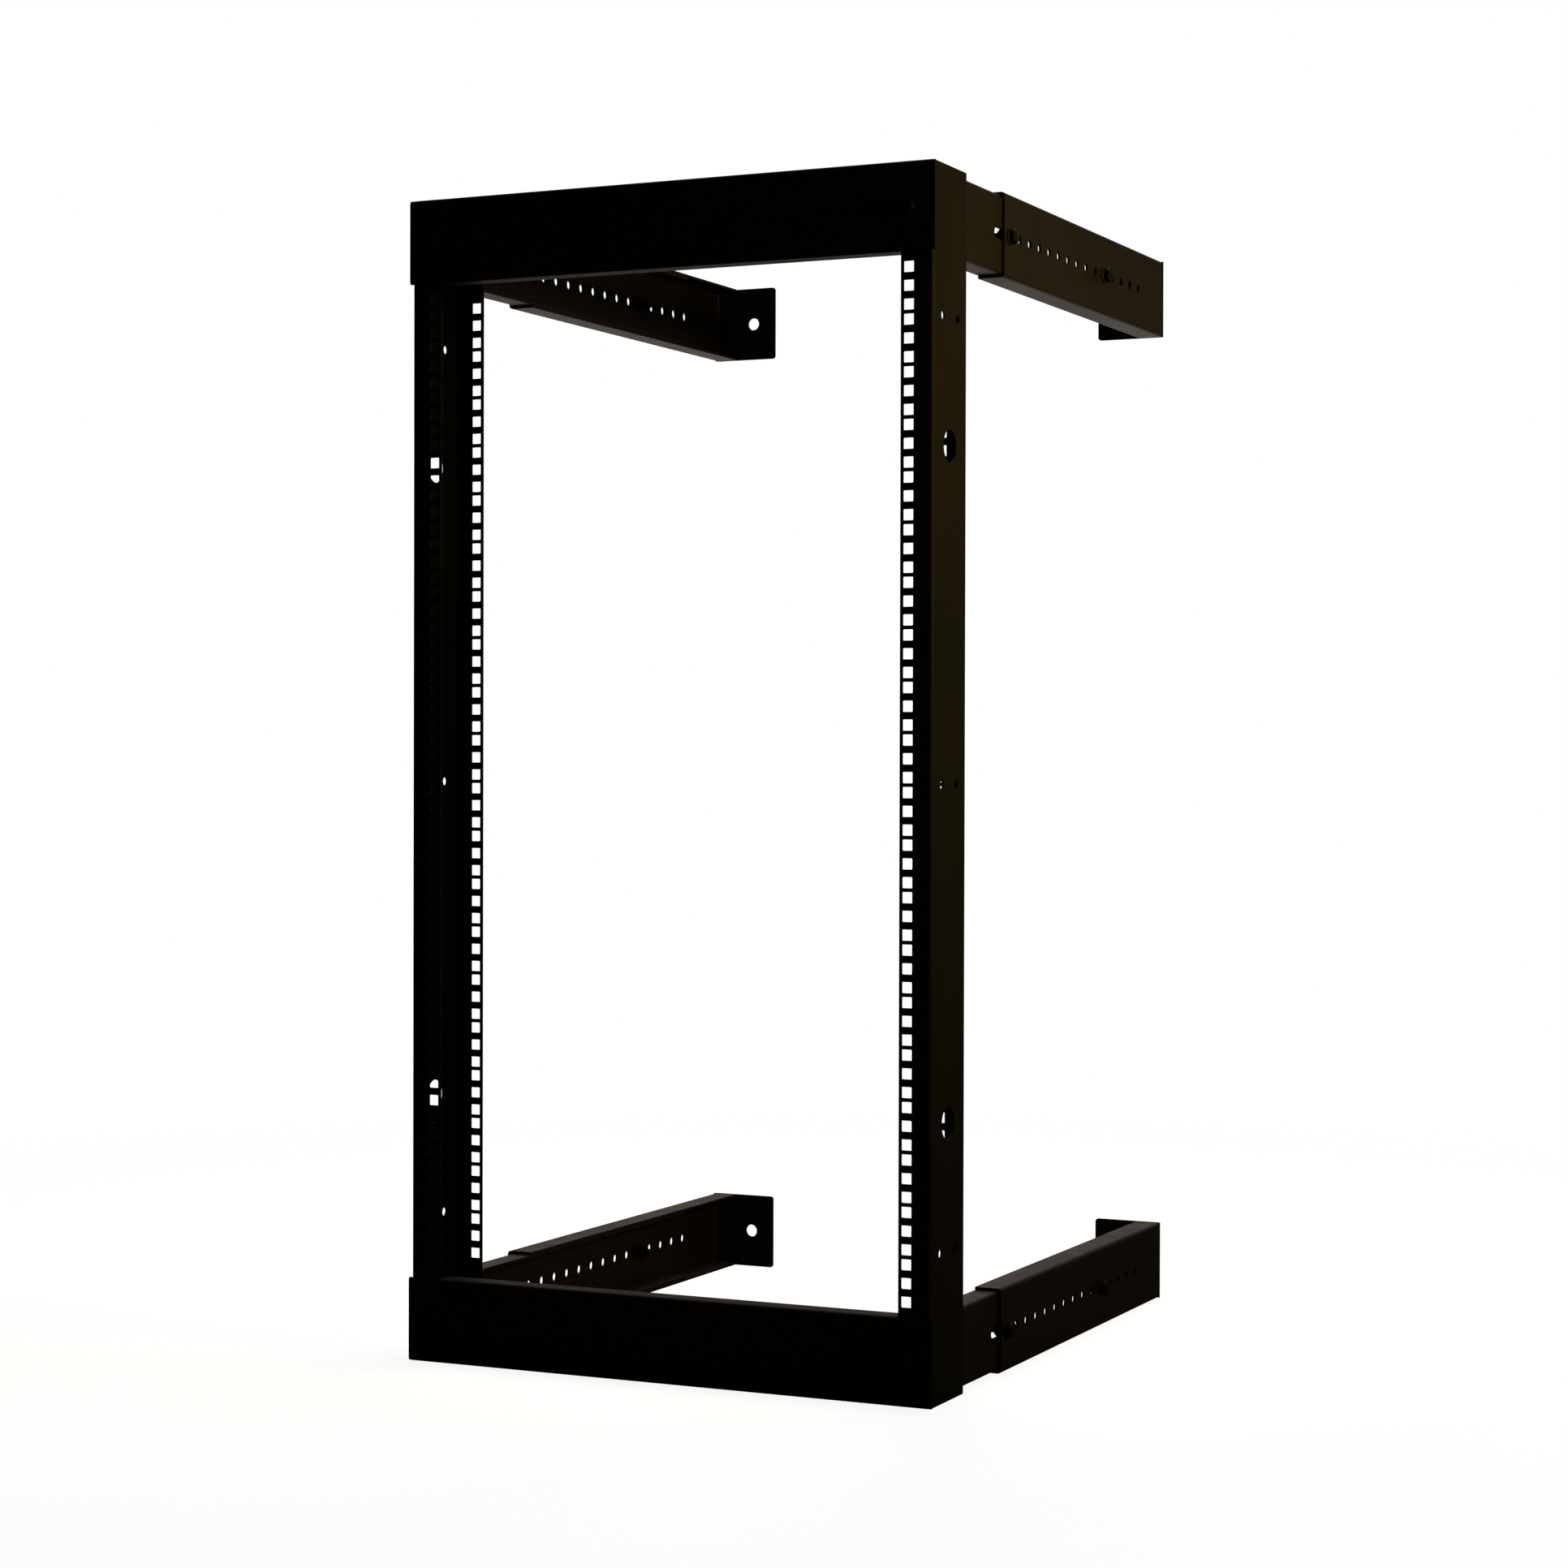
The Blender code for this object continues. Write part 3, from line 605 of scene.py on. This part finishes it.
def innerArmMesh(arm):
    # Top right inner arm with its tab, in its place
    low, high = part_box("inner_arm_top_right")
    channelStart = low.y + arm["sheet"] + arm["cornerRelief"]
    flange = arm["flange"] - arm["sheet"] - arm["clearance"]
    channel = channelMesh(high.x, flange, low.z, high.z, channelStart, high.y)
    path = ((low.x, low.y), (high.x, low.y), (high.x, channelStart + arm["jointOverlap"]))
    section = foldedSection(path, arm["sheet"], arm["bend"], arm["bendSteps"])
    mesh = combinedMesh(channel, extrudedMesh(section, low.z, high.z, alongZ), "UNION")
    middle = (low.z + high.z) / 2
    reach = arm["sheet"] + arm["overrun"]
    radius = arm["slotWidth"] / 2
    slotStart = nodeCentre("arm_bolt_top_right_front").y - arm["travelToRack"]
    slotStop = high.y - arm["slotEnd"]
    outline = []
    for centre, turn in ((slotStop, -math.pi / 2), (slotStart, math.pi / 2)):
        for step in range(17):
            angle = turn + math.pi * step / 16
            outline.append((centre + radius * math.cos(angle), middle + radius * math.sin(angle)))
    mesh = combinedMesh(mesh, extrudedMesh(outline, high.x - reach, high.x + reach, alongX))
    bolts = [nodeCentre(f"tab_bolt_top_right_{place}") for place in ("upper", "lower")]
    holes = [deep(bolt.x, low.y, bolt.z) for bolt in bolts]
    return combinedMesh(mesh, rodsMesh(holes, arm["tabHoleDiameter"] / 2, 2 * reach, 32))


outerArm = finishedSheet(outerArmMesh(arm), materials["armCoat"])
innerArm = finishedSheet(innerArmMesh(arm), materials["armCoat"])
drop = Matrix.Translation((0, 0, nodeCentre("outer_arm_bottom_right").z - nodeCentre("outer_arm_top_right").z))
armPlaces = {"top_right": Matrix.Identity(4), "bottom_right": drop, "bottom_left": halfTurn,
             "top_left": halfTurn @ drop}
for tag, place in armPlaces.items():
    addPiece(f"outer_arm_{tag}_coated", movedCopy(outerArm, place), f"arm_{tag}", "arm_coat",
             f"outer_arm_{tag}")
    addPiece(f"inner_arm_{tag}_coated", movedCopy(innerArm, place), "frame", "arm_coat", f"inner_arm_{tag}")
print("arms coated:", len(outerArm.polygons), "faces each")


def fastenerNodes(add, given, calculate):
    # Pieces that the fastener trees share, each along Z with its seat at zero height
    def moved(geometry, height, scale=(1, 1, 1)):
        shift = add("ShaderNodeCombineXYZ", {"Z": height}).outputs[0]
        return add("GeometryNodeTransform", {"Geometry": geometry, "Translation": shift,
                                             "Scale": scale}).outputs[0]

    def rod(radius, low, high, sides):
        length = calculate("SUBTRACT", high, low)
        middle = calculate("DIVIDE", calculate("ADD", high, low), 2.0)
        bar = add("GeometryNodeMeshCylinder", {"Vertices": sides, "Radius": radius, "Depth": length})
        return moved(bar.outputs["Mesh"], middle)

    def joined(*parts):
        node = add("GeometryNodeJoinGeometry")
        for part in parts:
            node.id_data.links.new(part, node.inputs[0])
        return node.outputs[0]

    def carved(operation, first, second):
        node = add("GeometryNodeMeshBoolean", operation=operation, solver="EXACT")
        if operation == "DIFFERENCE":
            node.id_data.links.new(first, node.inputs[0])
        else:
            node.id_data.links.new(first, node.inputs[1])
        node.id_data.links.new(second, node.inputs[1])
        return node.outputs["Mesh"]

    def hexagon(acrossFlats, low, high):
        return rod(calculate("DIVIDE", acrossFlats, math.sqrt(3)), low, high, 6)

    def chamferCone(acrossFlats, base, height, upward):
        # A cone that trims a hexagon's corners at about 30 degrees
        wide = calculate("MULTIPLY", acrossFlats, 1.0)
        narrow = calculate("MULTIPLY", acrossFlats, 0.475)
        length = calculate("MULTIPLY", calculate("SUBTRACT", wide, narrow), 0.577)
        top, bottom = (narrow, wide) if upward else (wide, narrow)
        cone = add("GeometryNodeMeshCone", {"Vertices": 48, "Radius Top": top, "Radius Bottom": bottom,
                                            "Depth": length}).outputs["Mesh"]
        start = calculate("SUBTRACT", calculate("ADD", base, height), length) if upward else base
        return moved(cone, start)

    def thread(radius, low, high, pitch):
        length = calculate("SUBTRACT", high, low)
        turns = calculate("DIVIDE", length, pitch)
        spiral = add("GeometryNodeCurveSpiral", {"Resolution": 24, "Rotations": turns, "Start Radius": radius,
                                                 "End Radius": radius, "Height": length}).outputs[0]
        ridge = add("GeometryNodeCurvePrimitiveCircle",
                    {"Resolution": 4, "Radius": calculate("MULTIPLY", pitch, 0.36)}).outputs[0]
        wound = add("GeometryNodeCurveToMesh", {"Curve": spiral, "Profile Curve": ridge, "Fill Caps": True})
        return moved(wound.outputs[0], low)

    def placedOnPoints(part):
        turn = add("FunctionNodeEulerToRotation", {0: given["Turn"]}).outputs[0]
        placed = add("GeometryNodeInstanceOnPoints", {"Points": given["Geometry"], "Instance": part,
                                                      "Rotation": turn})
        real = add("GeometryNodeRealizeInstances", {"Geometry": placed.outputs[0]}).outputs[0]
        coated = add("GeometryNodeSetMaterial", {"Geometry": real, "Material": given["Material"]})
        add("NodeGroupOutput", {"Geometry": coated.outputs[0]})

    return rod, joined, carved, hexagon, chamferCone, thread, moved, placedOnPoints


def flangeBoltTree():
    tree, add, given, calculate = newGeometryTree(
        "flangeBolts",
        [("Turn", vectorSocket), ("Diameter", floatSocket), ("Across Flats", floatSocket),
         ("Head Height", floatSocket), ("Flange Diameter", floatSocket), ("Flange Height", floatSocket),
         ("Length", floatSocket), ("Thread Start", floatSocket), ("Pitch", floatSocket),
         ("Material", materialSocket)])
    rod, joined, carved, hexagon, chamferCone, thread, moved, placed = fastenerNodes(add, given, calculate)
    radius = calculate("DIVIDE", given["Diameter"], 2.0)
    below = calculate("MULTIPLY", given["Length"], -1.0)
    core = calculate("SUBTRACT", radius, calculate("MULTIPLY", given["Pitch"], 0.3))
    plain = rod(radius, calculate("MULTIPLY", given["Thread Start"], -1.0), 0.0002, 40)
    stem = rod(core, below, 0.0, 40)
    winding = thread(core, calculate("ADD", below, 0.0003),
                     calculate("MULTIPLY", given["Thread Start"], -1.0), given["Pitch"])
    rim = calculate("DIVIDE", given["Flange Diameter"], 2.0)
    rimHeight = calculate("MULTIPLY", given["Flange Height"], 0.45)
    disc = rod(rim, 0.0, rimHeight, 48)
    skirt = add("GeometryNodeMeshCone", {"Vertices": 48, "Radius Bottom": rim,
                                         "Radius Top": calculate("MULTIPLY", given["Across Flats"], 0.56),
                                         "Depth": calculate("MULTIPLY", given["Flange Height"], 0.6)})
    skirt = moved(skirt.outputs["Mesh"], calculate("SUBTRACT", rimHeight, 0.00002))
    block = hexagon(given["Across Flats"], calculate("MULTIPLY", given["Flange Height"], 0.6),
                    given["Head Height"])
    cone = chamferCone(given["Across Flats"], 0.0, given["Head Height"], True)
    head = carved("INTERSECT", block, cone)
    placed(joined(plain, stem, winding, disc, skirt, head))
    return tree


def hexNutTree():
    tree, add, given, calculate = newGeometryTree(
        "hexNuts",
        [("Turn", vectorSocket), ("Diameter", floatSocket), ("Across Flats", floatSocket),
         ("Height", floatSocket), ("Material", materialSocket)])
    rod, joined, carved, hexagon, chamferCone, thread, moved, placed = fastenerNodes(add, given, calculate)
    block = hexagon(given["Across Flats"], 0.0, given["Height"])
    block = carved("INTERSECT", block, chamferCone(given["Across Flats"], 0.0, given["Height"], True))
    block = carved("INTERSECT", block, chamferCone(given["Across Flats"], 0.0, given["Height"], False))
    bore = rod(calculate("MULTIPLY", given["Diameter"], 0.5), -0.001,
               calculate("ADD", given["Height"], 0.001), 40)
    placed(carved("DIFFERENCE", block, bore))
    return tree


def domedScrewTree():
    tree, add, given, calculate = newGeometryTree(
        "domedScrews",
        [("Turn", vectorSocket), ("Diameter", floatSocket), ("Head Diameter", floatSocket),
         ("Head Height", floatSocket), ("Socket", floatSocket), ("Socket Depth", floatSocket),
         ("Length", floatSocket), ("Thread Start", floatSocket), ("Pitch", floatSocket),
         ("Material", materialSocket)])
    rod, joined, carved, hexagon, chamferCone, thread, moved, placed = fastenerNodes(add, given, calculate)
    rim = calculate("DIVIDE", given["Head Diameter"], 2.0)
    ball = add("GeometryNodeMeshUVSphere", {"Segments": 64, "Rings": 32, "Radius": 1.0}).outputs["Mesh"]
    stretch = add("ShaderNodeCombineXYZ", {"X": rim, "Y": rim, "Z": given["Head Height"]}).outputs[0]
    ball = moved(ball, 0.0, stretch)
    dome = carved("INTERSECT", ball, rod(calculate("MULTIPLY", rim, 1.3), 0.00012, 0.02, 64))
    floorHeight = calculate("SUBTRACT", given["Head Height"], given["Socket Depth"])
    dome = carved("DIFFERENCE", dome, hexagon(given["Socket"], floorHeight, 0.03))
    below = calculate("MULTIPLY", given["Length"], -1.0)
    threadTop = calculate("MULTIPLY", given["Thread Start"], -1.0)
    radius = calculate("DIVIDE", given["Diameter"], 2.0)
    core = calculate("SUBTRACT", radius, calculate("MULTIPLY", given["Pitch"], 0.3))
    plain = rod(radius, threadTop, 0.0003, 32)
    stem = rod(core, below, 0.0, 32)
    winding = thread(core, calculate("ADD", below, 0.0003), threadTop, given["Pitch"])
    placed(joined(dome, plain, stem, winding))
    return tree


def seatPoints(places):
    mesh = bpy.data.meshes.new("seats")
    mesh.from_pydata(places, [], [])
    return mesh


fastenerEdge = {"width": 0.00014, "segments": 2, "angle": 42, "smoothAngle": 35, "weld": 0.000005}


def finishedFastener(mesh, edge=fastenerEdge):
    # Breaks the sharp edges and gives them a paler line: a little wear, painted lighter still as a highlight
    shape = bmesh.new()
    shape.from_mesh(mesh)
    bmesh.ops.remove_doubles(shape, verts=shape.verts, dist=edge["weld"])
    bmesh.ops.dissolve_limit(shape, angle_limit=math.radians(0.5), verts=shape.verts, edges=shape.edges)
    shape.to_mesh(mesh)
    shape.free()
    mesh.materials.clear()
    mesh.materials.append(materials["blackOxide"])
    mesh.materials.append(materials["oxideEdge"])
    draft = linked("draft", mesh)
    bevel = draft.modifiers.new("brokenEdges", "BEVEL")
    bevel.width = edge["width"]
    bevel.segments = edge["segments"]
    bevel.limit_method = "ANGLE"
    bevel.angle_limit = math.radians(edge["angle"])
    # The bevel faces take the paler edge colour, a painted highlight line
    bevel.material = 1
    result = evaluatedMesh(draft)
    result.shade_smooth()
    result.set_sharp_from_angle(angle=math.radians(edge["smoothAngle"]))
    return result


armBolt = {"diameter": 0.008, "acrossFlats": 0.013, "flangeDiameter": 0.0165, "flangeHeight": 0.0016,
           "threadStart": 0.006, "pitch": 0.00125}
frameBolt = {"diameter": 0.006, "acrossFlats": 0.010, "flangeDiameter": 0.013, "flangeHeight": 0.0012,
             "threadStart": 0.004, "pitch": 0.001}
cornerScrew = {"diameter": 0.006, "headDiameter": 0.0125, "headHeight": 0.003, "socket": 0.004,
               "socketDepth": 0.0015, "threadStart": 0.004, "pitch": 0.001}

quarter = math.pi / 2
facing = {"right": (0, quarter, 0), "left": (0, -quarter, 0), "wall": (-quarter, 0, 0), "front": (quarter, 0, 0)}
boltTree, nutTree, screwTree = flangeBoltTree(), hexNutTree(), domedScrewTree()


def seatsOf(nodes, direction, depthBelow):
    # A fastener's seat lies this far up from the end of its shank, or of the nut, along its direction
    axis = Euler(facing[direction]).to_matrix() @ Vector((0, 0, 1))
    seats = []
    for node in nodes:
        low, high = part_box(node)
        middle = (low + high) / 2
        reach = abs((high - low).dot(axis)) / 2
        seats.append(middle + axis * (depthBelow - reach))
    return seats


def boltMesh(nodes, direction, bolt):
    low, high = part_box(nodes[0])
    axis = Euler(facing[direction]).to_matrix() @ Vector((0, 0, 1))
    total = abs((high - low).dot(axis))
    head = bolt["headHeight"]
    length = total - head
    mesh = runTree("bolts", seatPoints(seatsOf(nodes, direction, length)), boltTree, {
        "Turn": facing[direction],
        "Diameter": bolt["diameter"],
        "Across Flats": bolt["acrossFlats"],
        "Head Height": head,
        "Flange Diameter": bolt["flangeDiameter"],
        "Flange Height": bolt["flangeHeight"],
        "Length": length,
        "Thread Start": bolt["threadStart"],
        "Pitch": bolt["pitch"],
        "Material": materials["blackOxide"],
    })
    return finishedFastener(mesh)


def nutMesh(nodes, direction, bolt):
    low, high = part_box(nodes[0])
    axis = Euler(facing[direction]).to_matrix() @ Vector((0, 0, 1))
    mesh = runTree("nuts", seatPoints(seatsOf(nodes, direction, 0.0)), nutTree, {
        "Turn": facing[direction],
        "Diameter": bolt["diameter"],
        "Across Flats": bolt["acrossFlats"],
        "Height": abs((high - low).dot(axis)),
        "Material": materials["blackOxide"],
    })
    return finishedFastener(mesh)


def screwMesh(nodes, direction, screw):
    low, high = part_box(nodes[0])
    axis = Euler(facing[direction]).to_matrix() @ Vector((0, 0, 1))
    length = abs((high - low).dot(axis)) - screw["headHeight"]
    mesh = runTree("screws", seatPoints(seatsOf(nodes, direction, length)), screwTree, {
        "Turn": facing[direction],
        "Diameter": screw["diameter"],
        "Head Diameter": screw["headDiameter"],
        "Head Height": screw["headHeight"],
        "Socket": screw["socket"],
        "Socket Depth": screw["socketDepth"],
        "Length": length,
        "Thread Start": screw["threadStart"],
        "Pitch": screw["pitch"],
        "Material": materials["blackOxide"],
    })
    return finishedFastener(mesh)


armBolt["headHeight"] = 0.0068
frameBolt["headHeight"] = 0.0054
for level in levels:
    for side in sides:
        tag = f"{level}_{side}"
        outward, inward = (side, "left" if side == "right" else "right")
        bolts = [f"arm_bolt_{tag}_{place}" for place in ("front", "rear")]
        nuts = [f"arm_nut_{tag}_{place}" for place in ("front", "rear")]
        addPiece(f"arm_bolts_{tag}", boltMesh(bolts, outward, armBolt), f"arm_{tag}", "fasteners", *bolts)
        addPiece(f"arm_nuts_{tag}", nutMesh(nuts, inward, armBolt), f"arm_{tag}", "fasteners", *nuts)
        tabBolts = [f"tab_bolt_{tag}_{place}" for place in ("upper", "lower")]
        tabNuts = [f"tab_nut_{tag}_{place}" for place in ("upper", "lower")]
        addPiece(f"tab_bolts_{tag}", boltMesh(tabBolts, "wall", frameBolt), "frame", "fasteners", *tabBolts)
        addPiece(f"tab_nuts_{tag}", nutMesh(tabNuts, "front", frameBolt), "frame", "fasteners", *tabNuts)
        screws, screwNuts = [f"member_screw_{tag}"], [f"member_nut_{tag}"]
        addPiece(f"corner_screw_{tag}", screwMesh(screws, "front", cornerScrew), "frame", "fasteners", *screws)
        addPiece(f"corner_nut_{tag}", nutMesh(screwNuts, "wall", frameBolt), "frame", "fasteners", *screwNuts)
print("fasteners made")

studio = {
    "floorColour": (0.50, 0.50, 0.50),
    "floorGlow": 0.90,
    "bounceColour": (0.10, 0.095, 0.09),
    "dimFill": 0.012,
    "backdropGlow": 0.64,
    "backdropTint": (1.0, 0.86, 0.76),
    "backdropTowards": (-0.42, 0.90, 0.0),  # where the lips and flanges mirror it to the camera
    "lamps": {
        "sideSoftbox": {"place": (1.75, -0.27, 1.04), "aim": (0.25, 0.0, 1.0), "size": (0.34, 0.34),
                        "power": 2.8, "spread": 78, "colour": (1.0, 0.74, 0.14)},
        "topSoftbox": {"place": (0.1, 0.6, 2.6), "aim": (0.0, 0.15, 0.6), "size": (1.2, 1.2), "power": 17,
                       "spread": 180, "colour": (1.0, 0.93, 0.84)},
    },
}


def backdropStrength(add, direction, studio):
    # The backdrop's glow fades out away from its middle
    along = add("ShaderNodeVectorMath", {0: direction, 1: studio["backdropTowards"]},
                operation="DOT_PRODUCT").outputs["Value"]
    return add("ShaderNodeMapRange", {"Value": along, "From Min": 0.72, "From Max": 0.97,
                                      "To Min": studio["dimFill"], "To Max": studio["backdropGlow"]},
               interpolation_type="SMOOTHSTEP").outputs[0]


def makeFloor(studio):
    # The camera sees a white floor with a faint shadow; the rack mirrors a darker one
    shape = bmesh.new()
    bmesh.ops.create_grid(shape, x_segments=2, y_segments=2, size=30)
    mesh = bpy.data.meshes.new("studioFloor")
    shape.to_mesh(mesh)
    shape.free()
    floor = linked("studioFloor", mesh)
    material = bpy.data.materials.new("paleFloor")
    material.use_nodes = True
    tree = material.node_tree
    tree.nodes.clear()
    add = nodeMaker(tree)
    place = add("ShaderNodeTexCoord").outputs["Object"]
    distance = add("ShaderNodeVectorMath", {0: place}, operation="LENGTH").outputs["Value"]
    matte = add("ShaderNodeBsdfDiffuse", {"Color": (*studio["floorColour"], 1)})
    glow = add("ShaderNodeEmission", {"Color": (1, 1, 1, 1), "Strength": studio["floorGlow"]})
    near = add("ShaderNodeAddShader", {0: matte.outputs[0], 1: glow.outputs[0]})
    far = add("ShaderNodeEmission", {"Color": (1, 1, 1, 1), "Strength": 1.0})
    fade = add("ShaderNodeMapRange", {"Value": distance, "From Min": 0.9, "From Max": 2.0},
               interpolation_type="SMOOTHSTEP")
    seen = add("ShaderNodeMixShader", {0: fade.outputs[0], 1: near.outputs[0], 2: far.outputs[0]})
    dark = add("ShaderNodeBsdfDiffuse", {"Color": (*studio["bounceColour"], 1)})
    direction = add("ShaderNodeVectorMath", {0: place}, operation="NORMALIZE").outputs["Vector"]
    pale = add("ShaderNodeEmission", {"Color": (*studio["backdropTint"], 1),
                                      "Strength": backdropStrength(add, direction, studio)})
    rise = add("ShaderNodeMapRange", {"Value": distance, "From Min": 0.8, "From Max": 2.2},
               interpolation_type="SMOOTHSTEP")
    mirrored = add("ShaderNodeMixShader", {0: rise.outputs[0], 1: dark.outputs[0], 2: pale.outputs[0]})
    path = add("ShaderNodeLightPath")
    shader = add("ShaderNodeMixShader", {0: path.outputs["Is Camera Ray"], 1: mirrored.outputs[0],
                                         2: seen.outputs[0]})
    add("ShaderNodeOutputMaterial", {"Surface": shader.outputs[0]})
    mesh.materials.append(material)


def makeWorld(studio):
    # White to the camera; to the rack it is dim, with a pale backdrop behind
    world = bpy.data.worlds.new("paleStudio")
    bpy.context.scene.world = world
    world.use_nodes = True
    world.node_tree.nodes.clear()
    add = nodeMaker(world.node_tree)
    direction = add("ShaderNodeTexCoord").outputs["Generated"]
    fill = add("ShaderNodeBackground", {"Color": (*studio["backdropTint"], 1),
                                        "Strength": backdropStrength(add, direction, studio)})
    seen = add("ShaderNodeBackground", {"Color": (1, 1, 1, 1), "Strength": 1.0})
    path = add("ShaderNodeLightPath")
    mixed = add("ShaderNodeMixShader", {0: path.outputs["Is Camera Ray"], 1: fill.outputs[0],
                                        2: seen.outputs[0]})
    add("ShaderNodeOutputWorld", {"Surface": mixed.outputs[0]})


def makeLamps(studio):
    for name, lamp in studio["lamps"].items():
        data = bpy.data.lights.new(name, "AREA")
        data.shape = "RECTANGLE"
        data.size, data.size_y = lamp["size"]
        data.energy = lamp["power"]
        data.color = lamp["colour"]
        data.spread = math.radians(lamp["spread"])
        light = bpy.data.objects.new(name, data)
        bpy.context.scene.collection.objects.link(light)
        place = Vector(lamp["place"])
        light.location = place
        light.rotation_euler = (Vector(lamp["aim"]) - place).to_track_quat("-Z", "Y").to_euler()


makeFloor(studio)
makeWorld(studio)
makeLamps(studio)
bpy.context.scene.view_settings.view_transform = "Standard"
print("studio lit")

bpy.context.view_layer.update()
